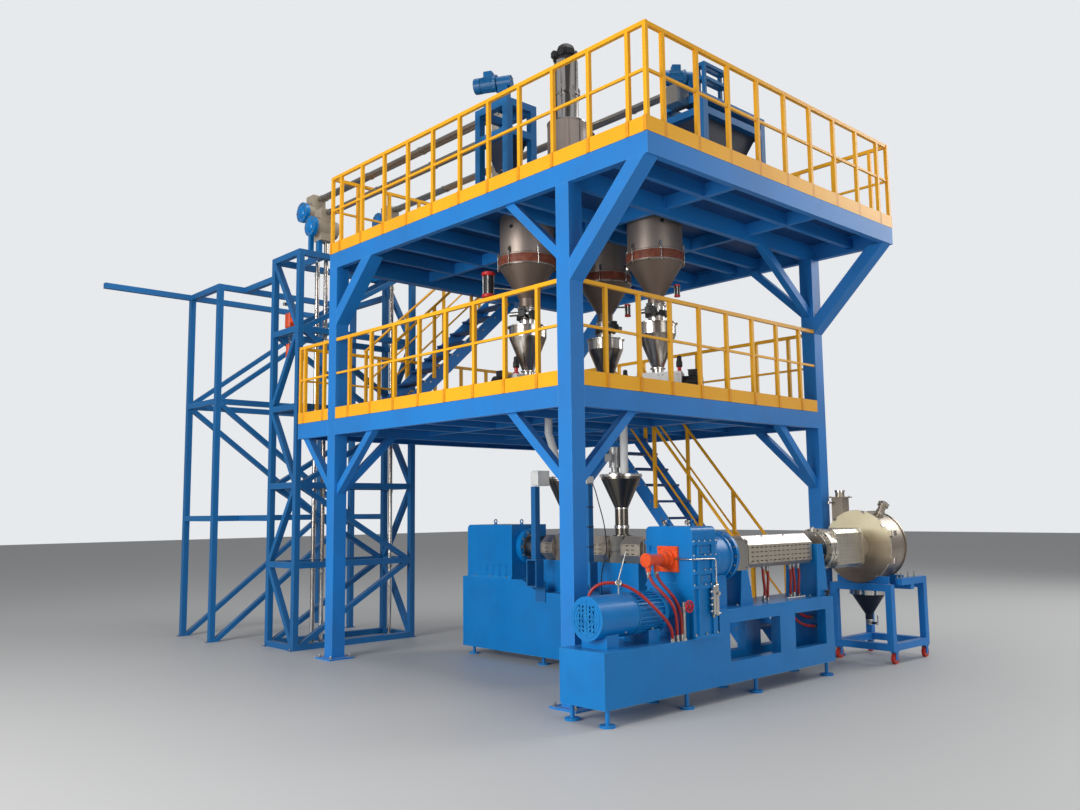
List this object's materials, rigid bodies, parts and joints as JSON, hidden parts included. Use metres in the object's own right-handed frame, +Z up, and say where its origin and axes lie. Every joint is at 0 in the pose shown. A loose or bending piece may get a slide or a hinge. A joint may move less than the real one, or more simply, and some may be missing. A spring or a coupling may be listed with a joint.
{
  "type": "plastic extruder",
  "caption": "Compounding extruder plant: kneader, discharge screw with die and wheeled pelletizer hood, dosing platform with stairs and hoppers, feed tower and hoist frame.",
  "frame": {"origin": "centre of the near column's base plate, at floor level", "axes": "+X along the discharge screw towards the pelletizer, +Y along the kneader towards the feed tower, +Z up"},
  "size_m": [6.9125, 9.04, 7.401],
  "materials": {
    "caster_red": "gloss",
    "clamp_band": "satin",
    "cover_steel": "satin",
    "dark_steel": "satin",
    "deck_plate": "satin",
    "drum_beige": "satin",
    "feeder_white": "satin",
    "filter_grey": "matt",
    "funnel_dark": "satin",
    "hood_steel": "polished",
    "hose_red": "satin",
    "machine_blue": "gloss",
    "motor_black": "satin",
    "motor_grey": "satin",
    "orange": "gloss",
    "platform_blue": "satin",
    "rail_yellow": "gloss",
    "steel": "satin"
  },
  "bodies": {
    "plant": {"columns": "platform_blue", "column_base_plates": "platform_blue", "lower_deck_frame": "platform_blue", "lower_deck_plate": "deck_plate", "upper_deck_frame": "platform_blue", "upper_deck_plate": "deck_plate", "lower_knee_braces": "platform_blue", "upper_knee_braces": "platform_blue", "lower_side_railings": "rail_yellow", "lower_end_railings": "rail_yellow", "upper_side_railings": "rail_yellow", "upper_end_railings": "rail_yellow", "stair_stringers": "platform_blue", "stair_treads": "platform_blue", "stair_landing": "platform_blue", "stair_handrails": "rail_yellow", "day_hoppers": "steel", "hopper_clamp_bands": "clamp_band", "feeder_hoppers": "steel", "feeder_housings": "feeder_white", "feeder_motors": "motor_black", "station_frames": "platform_blue", "station_drives": "machine_blue", "station_hoppers": "dark_steel", "vacuum_loader": "steel", "loader_blower": "motor_black", "dust_filter": "filter_grey", "screw_conveyor_tubes": "steel", "tower_side_lattices": "platform_blue", "tower_face_lattices": "platform_blue", "lift_tubes": "steel", "lift_heads": "drum_beige", "lift_drives": "machine_blue", "hoist_posts": "platform_blue", "hoist_rungs": "platform_blue", "hoist_diagonals": "platform_blue", "hoist_cross_beams": "platform_blue", "drop_pipes": "feeder_white", "sloped_chute": "feeder_white", "kneader_base": "machine_blue", "kneader_gearbox": "machine_blue", "kneader_barrel": "steel", "kneader_barrel_covers": "cover_steel", "transfer_duct": "steel", "feed_hoppers": "steel", "feed_hopper_drives": "motor_grey", "service_posts": "platform_blue", "discharge_frame": "machine_blue", "drive_motor": "machine_blue", "discharge_gearbox": "machine_blue", "rotary_union": "orange", "discharge_barrel": "steel", "discharge_barrel_cover": "cover_steel", "die_head": "hood_steel", "coolant_hoses": "hose_red"},
    "trolley": {"pelletizer_hood": "hood_steel", "pellet_funnel": "funnel_dark", "hood_trolley": "platform_blue"},
    "front_wheels": {"front_casters": "caster_red"},
    "rear_wheels": {"rear_casters": "caster_red"}
  },
  "joints": [
    {"name": "trolley_slide", "type": "slide", "parent": "plant", "child": "trolley", "axis": [1, 0, 0], "range_m": [0, 0.6]},
    {"name": "front_wheel_roll", "type": "hinge", "parent": "trolley", "child": "front_wheels", "pos_m": [4.32, -0.92, 0.0625], "axis": [0, 1, 0], "continuous": true},
    {"name": "rear_wheel_roll", "type": "hinge", "parent": "trolley", "child": "rear_wheels", "pos_m": [5.08, -0.92, 0.0625], "axis": [0, 1, 0], "continuous": true}
  ],
  "couplings": [
    {"joint": "front_wheel_roll", "follows": "trolley_slide", "rad_per_m": 16},
    {"joint": "rear_wheel_roll", "follows": "trolley_slide", "rad_per_m": 16}
  ]
}
